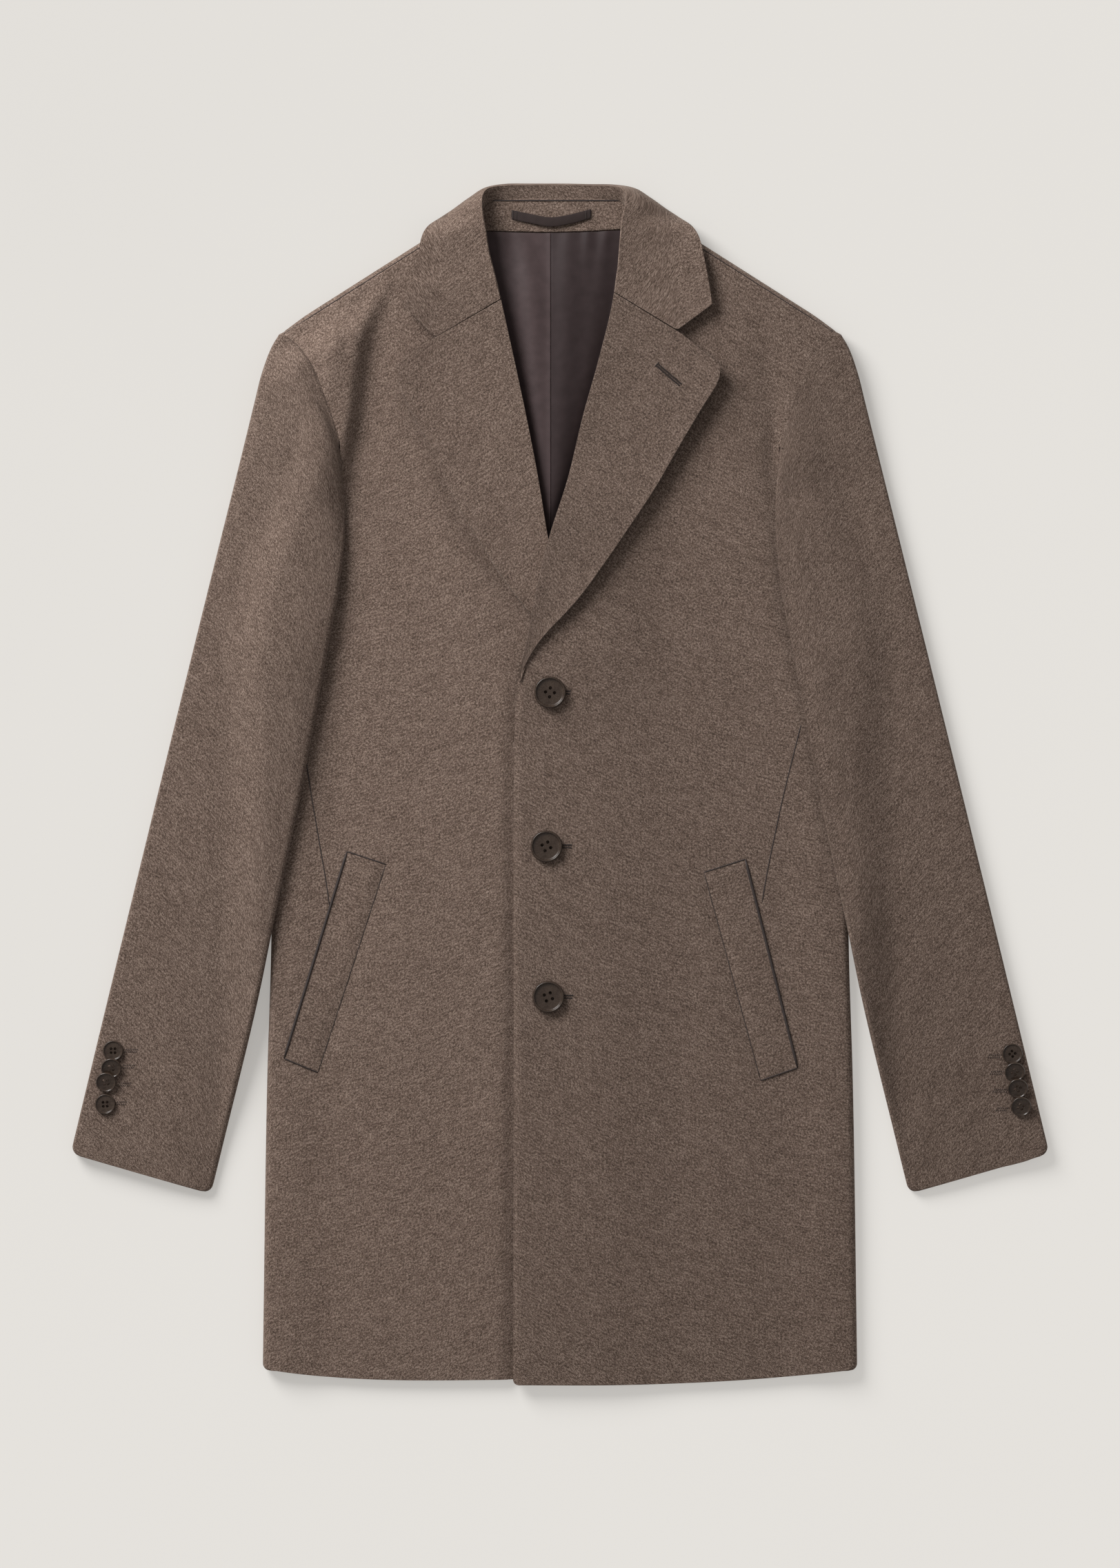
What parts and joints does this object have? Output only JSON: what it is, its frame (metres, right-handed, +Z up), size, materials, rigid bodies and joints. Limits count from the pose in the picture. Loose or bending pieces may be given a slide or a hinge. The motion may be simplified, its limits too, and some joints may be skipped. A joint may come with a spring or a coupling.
{
  "type": "single-breasted coat",
  "caption": "Thigh-length single-breasted wool coat laid flat on its back, buttoned, with notch lapels, slanted welt pockets, two-piece sleeves with button cuffs and a lined neck.",
  "frame": {"origin": "middle of the surface that the coat lies on, under the middle of its box", "axes": "+X towards the wearer's left sleeve, +Y towards the collar, +Z up out of the surface"},
  "size_m": [0.765, 0.9422, 0.0361],
  "materials": {
    "wool": "brushed wool melton, brown melange, matt with a short nap",
    "lining": "dark brown satin lining, soft gloss",
    "loop": "dark brown satin strap",
    "buttons": "dark brown horn look, polished"
  },
  "bodies": {
    "root": {"back": "wool", "front_right": "wool", "front_left": "wool", "lapel_right": "wool", "lapel_left": "wool", "collar": "wool", "neck_facing": "wool", "welt_right": "wool", "welt_left": "wool", "sleeve_upper_right": "wool", "sleeve_upper_left": "wool", "sleeve_under_right": "wool", "sleeve_under_left": "wool", "lining_right": "lining", "lining_left": "lining", "hanger_loop": "loop", "button_front_1": "buttons", "button_front_2": "buttons", "button_front_3": "buttons", "button_cuff_right_1": "buttons", "button_cuff_right_2": "buttons", "button_cuff_right_3": "buttons", "button_cuff_right_4": "buttons", "button_cuff_left_1": "buttons", "button_cuff_left_2": "buttons", "button_cuff_left_3": "buttons", "button_cuff_left_4": "buttons"}
  },
  "joints": []
}
